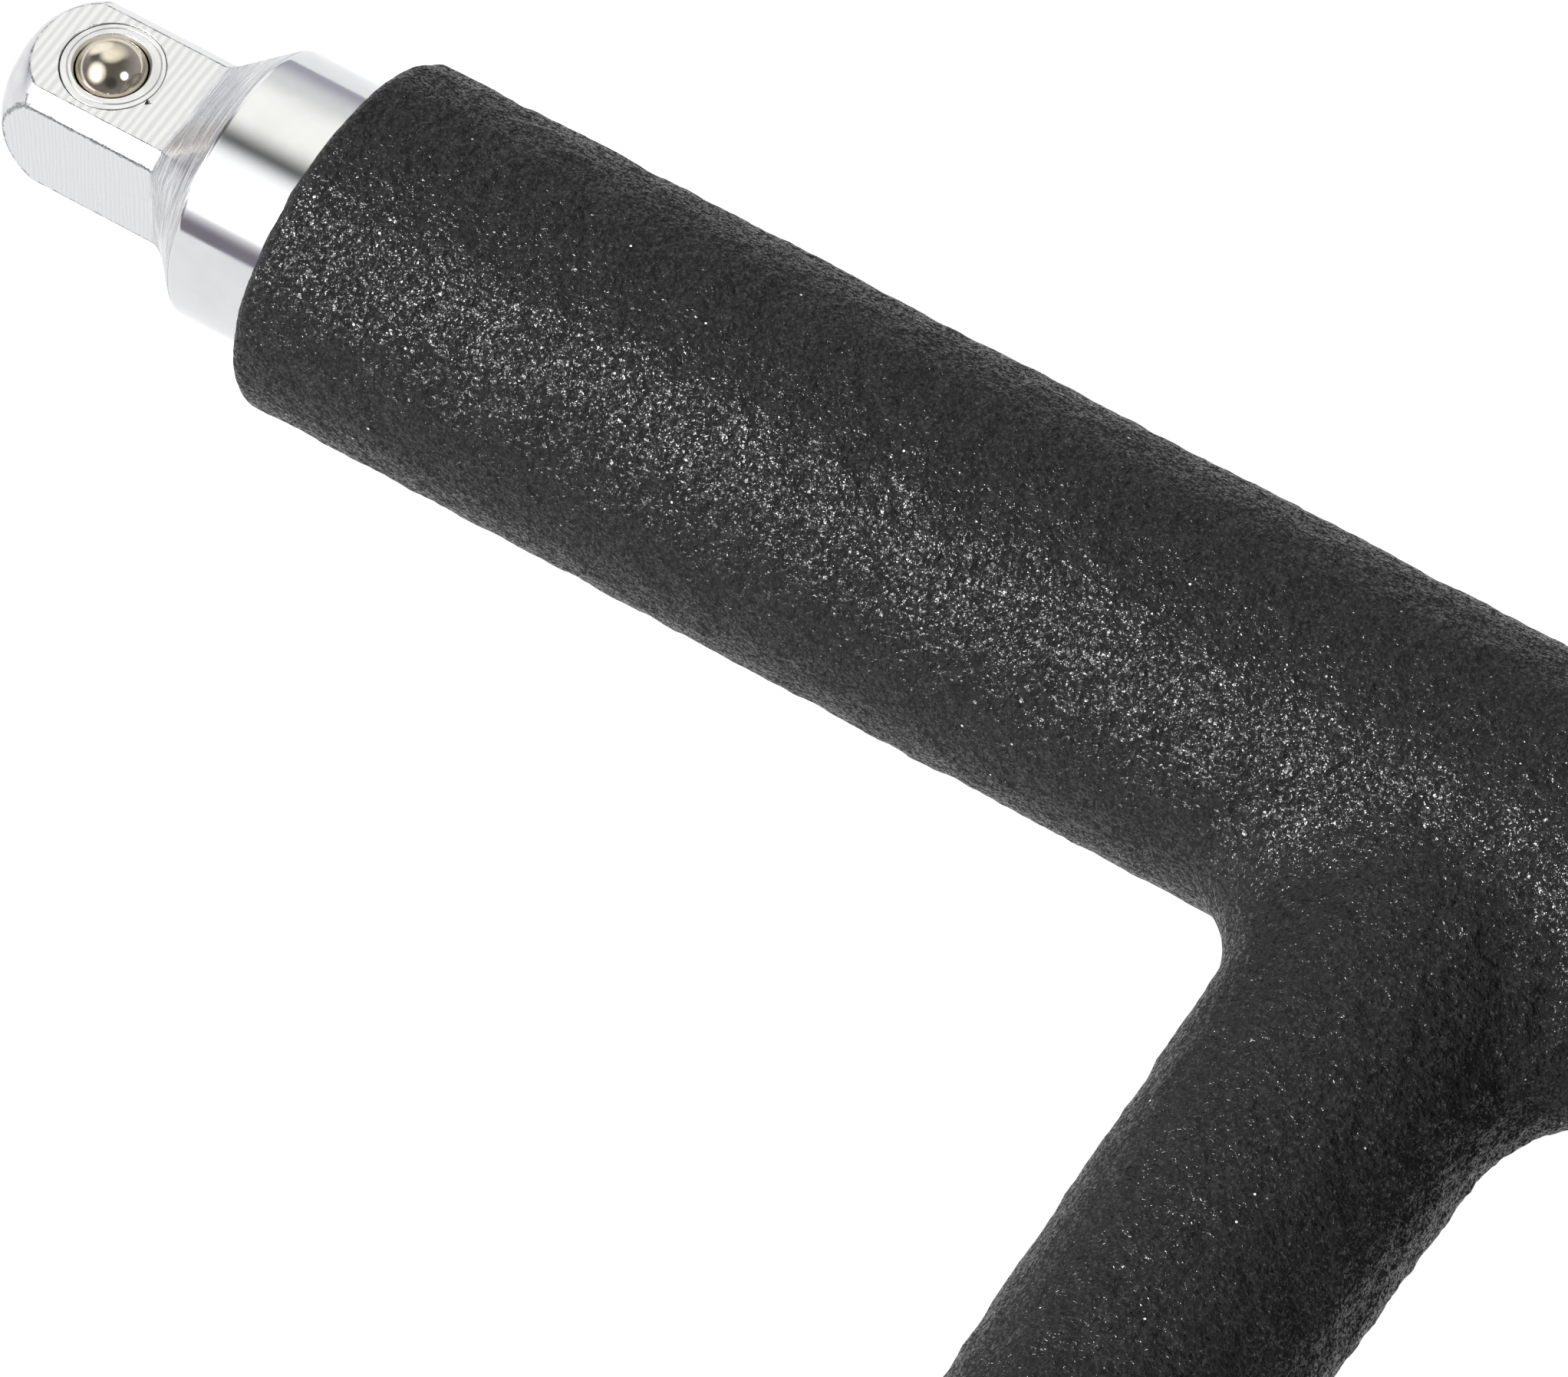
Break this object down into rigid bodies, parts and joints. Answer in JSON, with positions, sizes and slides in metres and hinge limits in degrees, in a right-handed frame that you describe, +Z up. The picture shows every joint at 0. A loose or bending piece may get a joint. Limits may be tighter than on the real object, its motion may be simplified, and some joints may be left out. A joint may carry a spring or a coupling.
{
  "type": "breaker bar",
  "caption": "T-shaped breaker bar with a half-inch square ball-detent drive on one arm of a covered crossbar and a long lever at right angles.",
  "frame": {"origin": "centre of the flat nose face of the square drive", "axes": "+X runs from the drive's nose along the crossbar, so the drive points along -X; the lever leaves the crossbar along -Y; +Z is up, out of the flat that carries the detent ball"},
  "size_m": [0.2578, 0.4731, 0.0318],
  "materials": {
    "chrome": "bright chrome plate, satin with tool marks on the drive and polished on the neck",
    "bearing_steel": "polished bearing ball, warm grey",
    "plain_steel": "plain turned steel",
    "weld_steel": "rippled weld metal",
    "grained_rubber": "black moulded rubber with a coarse sand grain that glitters",
    "nylon": "fine-textured black moulded nylon"
  },
  "bodies": {
    "tool": {"drive_anvil": "chrome", "detent_cage": "chrome", "detent_spring": "plain_steel", "anvil_pin_front": "plain_steel", "anvil_pin_rear": "plain_steel", "crossbar_tube": "plain_steel", "tee_core": "plain_steel", "tee_weld_bead": "weld_steel", "lever_tube": "chrome", "arm_cover": "grained_rubber", "rear_cap": "nylon", "lever_grip": "grained_rubber", "lever_cap": "nylon"},
    "ball": {"detent_ball": "bearing_steel"}
  },
  "joints": [
    {"name": "ball_press", "type": "slide", "parent": "tool", "child": "ball", "axis": [0, 0, -1], "range_m": [0, 0.0018], "stiffness_N_per_m": 2000, "springref_m": -0.003, "deforming": ["detent_spring"]}
  ]
}
